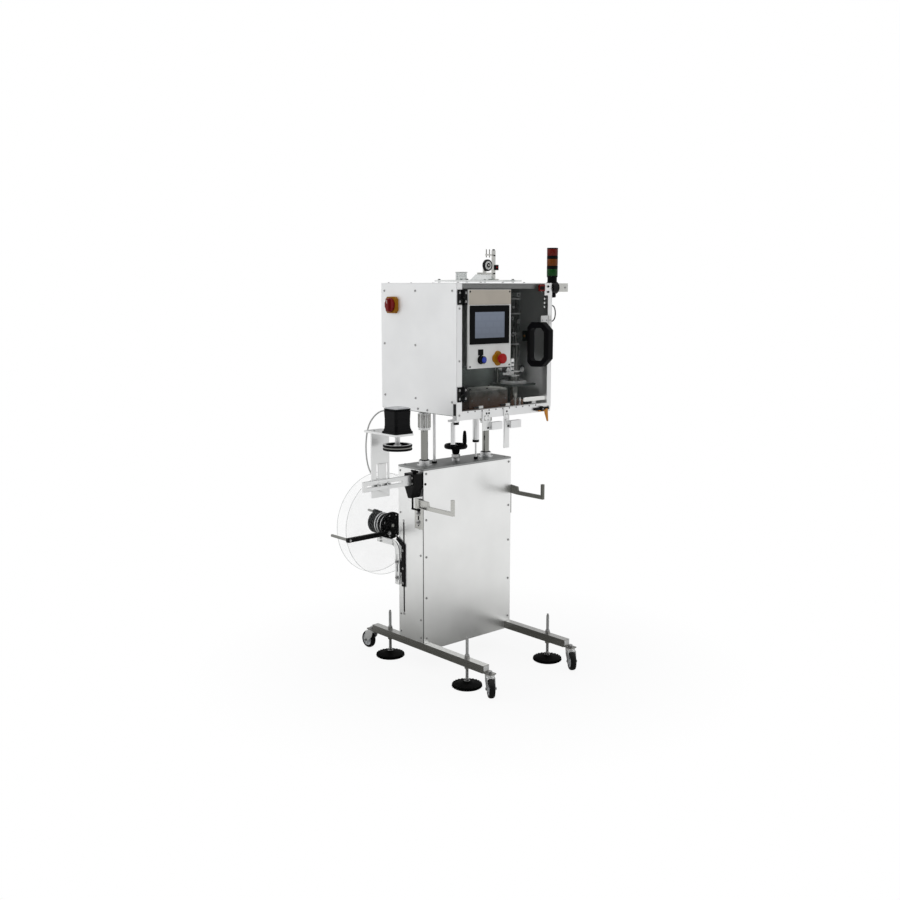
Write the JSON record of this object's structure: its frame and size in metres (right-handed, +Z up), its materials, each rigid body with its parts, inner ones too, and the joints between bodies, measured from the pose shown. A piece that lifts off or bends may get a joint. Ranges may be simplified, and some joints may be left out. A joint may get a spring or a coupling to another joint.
{
  "type": "shrink sleeve applicator",
  "caption": "Shrink sleeve applicator: a boxed head with a clear door and operator box on a lifting column cabinet, wheeled base, film reel and spacing wheel.",
  "frame": {"origin": "on the floor midway between the four levelling feet, in the plane of the cabinet's front face", "axes": "+X to the right along the wide front, +Y to the rear, +Z up; the front faces -Y"},
  "size_m": [0.8985, 0.8675, 1.741],
  "materials": {
    "frame_steel": "brushed stainless tube",
    "panel_steel": "fine brushed stainless sheet",
    "dark_plate": "satin dark grey",
    "bracket_steel": "brushed plate",
    "head_frame": "satin aluminium section",
    "mechanism_plate": "satin plate in shade",
    "hard_chrome": "polished round bar",
    "foot_plastic": "black moulded pad",
    "caster_rubber": "black tread on a grey hub",
    "black_plastic": "fine grained black",
    "black_metal": "black satin coat",
    "clear_sheet": "clear acrylic",
    "smoked_sheet": "clear door sheet with a grey tint",
    "operator_white": "white face foil",
    "screen_glass": "dark bezel and glass",
    "red_plastic": "red",
    "blue_plastic": "blue, lit",
    "amber_plastic": "amber lever on a black bar",
    "lamp_lens": "red, amber and green lenses",
    "knife_steel": "ground steel",
    "roller_rubber": "rubber roller",
    "cable_sheath": "black cable sheath"
  },
  "bodies": {
    "machine_base": {"base_frame": "frame_steel", "cabinet_front_panel": "panel_steel", "cabinet_shell": "panel_steel", "cabinet_top_plate": "dark_plate", "guide_rods": "hard_chrome", "bar_clamp_block": "dark_plate"},
    "head": {"lift_frame": "hard_chrome", "strut_body": "hard_chrome", "door_frame": "head_frame", "head_side_panels": "panel_steel", "head_rear_cover": "panel_steel", "mechanism_frame": "mechanism_plate", "mandrel": "hard_chrome", "door_hinges": "black_metal", "sensor_brackets": "bracket_steel", "film_inlet_plate": "clear_sheet", "guide_wheel_stand": "bracket_steel", "stack_light_base": "black_plastic", "stack_light_lenses": "lamp_lens"},
    "lift_wheel": {"handwheel": "black_plastic"},
    "lift_wheel_grip": {"handwheel_grip": "black_plastic"},
    "door": {"door_panel": "smoked_sheet", "hmi_housing": "operator_white", "touch_screen": "screen_glass", "door_handle": "black_plastic"},
    "stop_head": {"estop_button": "red_plastic"},
    "start_cap": {"start_button": "blue_plastic"},
    "switch_knob": {"main_switch_knob": "red_plastic"},
    "latch": {"latch_lever": "amber_plastic"},
    "hook_left": {"conveyor_hook_left": "bracket_steel"},
    "hook_right": {"conveyor_hook_right": "bracket_steel"},
    "bar": {"cross_bar": "bracket_steel"},
    "bar_clamp": {"clamp_lever": "black_metal"},
    "wheel_carrier": {"wheel_bracket": "bracket_steel", "gap_wheel_motor": "black_metal", "motor_cable": "cable_sheath"},
    "spacing_wheel": {"gap_wheel": "black_plastic"},
    "reel_carriage": {"reel_slide_bar": "bracket_steel", "reel_bracket": "bracket_steel", "reel_bearing_plate": "bracket_steel"},
    "reel": {"reel_hub": "black_plastic", "reel_flanges": "clear_sheet"},
    "dancer": {"dancer_arm": "black_metal"},
    "film_roller": {"dancer_roller": "hard_chrome"},
    "top_wheel": {"guide_wheel": "roller_rubber"},
    "feed_left": {"feed_roller_left": "roller_rubber"},
    "feed_right": {"feed_roller_right": "roller_rubber"},
    "cutter": {"cutter_rotor": "knife_steel"},
    "foot_front_left": {"levelling_foot_front_left": "foot_plastic"},
    "foot_front_right": {"levelling_foot_front_right": "foot_plastic"},
    "foot_rear_left": {"levelling_foot_rear_left": "foot_plastic"},
    "foot_rear_right": {"levelling_foot_rear_right": "foot_plastic"},
    "swivel_front_left": {"caster_fork_front_left": "bracket_steel"},
    "roll_front_left": {"caster_wheel_front_left": "caster_rubber"},
    "swivel_front_right": {"caster_fork_front_right": "bracket_steel"},
    "roll_front_right": {"caster_wheel_front_right": "caster_rubber"},
    "swivel_rear_left": {"caster_fork_rear_left": "bracket_steel"},
    "roll_rear_left": {"caster_wheel_rear_left": "caster_rubber"},
    "swivel_rear_right": {"caster_fork_rear_right": "bracket_steel"},
    "roll_rear_right": {"caster_wheel_rear_right": "caster_rubber"}
  },
  "joints": [
    {"name": "foot_level_front_left", "type": "slide", "parent": "machine_base", "child": "foot_front_left", "axis": [0, 0, 1], "range_m": [-0.03, 0.03]},
    {"name": "foot_level_front_right", "type": "slide", "parent": "machine_base", "child": "foot_front_right", "axis": [0, 0, 1], "range_m": [-0.03, 0.03]},
    {"name": "foot_level_rear_left", "type": "slide", "parent": "machine_base", "child": "foot_rear_left", "axis": [0, 0, 1], "range_m": [-0.03, 0.03]},
    {"name": "foot_level_rear_right", "type": "slide", "parent": "machine_base", "child": "foot_rear_right", "axis": [0, 0, 1], "range_m": [-0.03, 0.03]},
    {"name": "caster_swivel_front_left", "type": "hinge", "parent": "machine_base", "child": "swivel_front_left", "pos_m": [-0.234, -0.3765, 0.086], "axis": [0, 0, 1], "continuous": true},
    {"name": "caster_roll_front_left", "type": "hinge", "parent": "swivel_front_left", "child": "roll_front_left", "pos_m": [-0.24854, -0.39805, 0.0385], "axis": [0.829, -0.5592, 0], "continuous": true},
    {"name": "caster_swivel_front_right", "type": "hinge", "parent": "machine_base", "child": "swivel_front_right", "pos_m": [0.234, -0.3765, 0.086], "axis": [0, 0, 1], "continuous": true},
    {"name": "caster_roll_front_right", "type": "hinge", "parent": "swivel_front_right", "child": "roll_front_right", "pos_m": [0.21946, -0.39805, 0.0385], "axis": [0.829, -0.5592, 0], "continuous": true},
    {"name": "caster_swivel_rear_left", "type": "hinge", "parent": "machine_base", "child": "swivel_rear_left", "pos_m": [-0.234, 0.3715, 0.086], "axis": [0, 0, 1], "continuous": true},
    {"name": "caster_roll_rear_left", "type": "hinge", "parent": "swivel_rear_left", "child": "roll_rear_left", "pos_m": [-0.234, 0.3975, 0.0385], "axis": [1, 0, 0], "continuous": true},
    {"name": "caster_swivel_rear_right", "type": "hinge", "parent": "machine_base", "child": "swivel_rear_right", "pos_m": [0.234, 0.3715, 0.086], "axis": [0, 0, 1], "continuous": true},
    {"name": "caster_roll_rear_right", "type": "hinge", "parent": "swivel_rear_right", "child": "roll_rear_right", "pos_m": [0.234, 0.3975, 0.0385], "axis": [1, 0, 0], "continuous": true},
    {"name": "head_lift", "type": "slide", "parent": "machine_base", "child": "head", "axis": [0, 0, 1], "range_m": [-0.06, 0.14]},
    {"name": "handwheel_turn", "type": "hinge", "parent": "machine_base", "child": "lift_wheel", "pos_m": [0, 0.082, 0.914], "axis": [0, 0, 1], "range_deg": [-5100, 2200]},
    {"name": "grip_spin", "type": "hinge", "parent": "lift_wheel", "child": "lift_wheel_grip", "pos_m": [0.028, 0.057, 0.95], "axis": [0, 0, 1], "continuous": true},
    {"name": "door_swing", "type": "hinge", "parent": "head", "child": "door", "pos_m": [-0.237, -0.224, 1.35], "axis": [0, 0, -1], "range_deg": [0, 110]},
    {"name": "stop_press", "type": "slide", "parent": "door", "child": "stop_head", "axis": [0, 1, 0], "range_m": [0, 0.006], "stiffness_N_per_m": 600},
    {"name": "start_press", "type": "slide", "parent": "door", "child": "start_cap", "axis": [0, 1, 0], "range_m": [0, 0.004], "stiffness_N_per_m": 400},
    {"name": "main_switch_turn", "type": "hinge", "parent": "head", "child": "switch_knob", "pos_m": [-0.29, 0.1675, 1.51], "axis": [1, 0, 0], "range_deg": [0, 90]},
    {"name": "latch_turn", "type": "hinge", "parent": "head", "child": "latch", "pos_m": [0.205, -0.223, 1.084], "axis": [0, -1, 0], "range_deg": [0, 90]},
    {"name": "hook_height_left", "type": "slide", "parent": "machine_base", "child": "hook_left", "axis": [0, 0, 1], "range_m": [-0.08, 0]},
    {"name": "hook_height_right", "type": "slide", "parent": "machine_base", "child": "hook_right", "axis": [0, 0, 1], "range_m": [-0.08, 0]},
    {"name": "bar_reach", "type": "slide", "parent": "machine_base", "child": "bar", "axis": [1, 0, 0], "range_m": [-0.025, 0]},
    {"name": "bar_clamp_turn", "type": "hinge", "parent": "machine_base", "child": "bar_clamp", "pos_m": [-0.274, 0.028, 0.84], "axis": [0, 0, -1], "range_deg": [0, 90]},
    {"name": "wheel_height", "type": "slide", "parent": "bar", "child": "wheel_carrier", "axis": [0, 0, 1], "range_m": [-0.07, 0.018]},
    {"name": "spacing_wheel_spin", "type": "hinge", "parent": "wheel_carrier", "child": "spacing_wheel", "pos_m": [-0.443, -0.073, 0.97], "axis": [0, 0, 1], "continuous": true},
    {"name": "reel_height", "type": "slide", "parent": "machine_base", "child": "reel_carriage", "axis": [0, 0, 1], "range_m": [-0.1, 0.09]},
    {"name": "reel_spin", "type": "hinge", "parent": "reel_carriage", "child": "reel", "pos_m": [-0.203, 0.268, 0.57], "axis": [0, 1, 0], "continuous": true},
    {"name": "dancer_swing", "type": "hinge", "parent": "reel_carriage", "child": "dancer", "pos_m": [-0.24, 0.249, 0.545], "axis": [0, 1, 0], "range_deg": [-12, 25], "stiffness_Nm_per_rad": 3, "springref_deg": 6.88},
    {"name": "film_roller_spin", "type": "hinge", "parent": "dancer", "child": "film_roller", "pos_m": [-0.445, 0.31, 0.545], "axis": [0, 1, 0], "continuous": true},
    {"name": "top_wheel_spin", "type": "hinge", "parent": "head", "child": "top_wheel", "pos_m": [0.141, 0.041, 1.672], "axis": [0, 1, 0], "continuous": true},
    {"name": "feed_left_spin", "type": "hinge", "parent": "head", "child": "feed_left", "pos_m": [0.1247, -0.095, 1.24], "axis": [0, 1, 0], "continuous": true},
    {"name": "feed_right_spin", "type": "hinge", "parent": "head", "child": "feed_right", "pos_m": [0.2053, -0.095, 1.24], "axis": [0, 1, 0], "continuous": true},
    {"name": "cutter_spin", "type": "hinge", "parent": "head", "child": "cutter", "pos_m": [0.165, -0.095, 1.19], "axis": [0, 0, 1], "continuous": true}
  ],
  "couplings": [
    {"joint": "handwheel_turn", "follows": "head_lift", "rad_per_m": -628.32},
    {"joint": "feed_right_spin", "follows": "feed_left_spin", "ratio": -1}
  ]
}
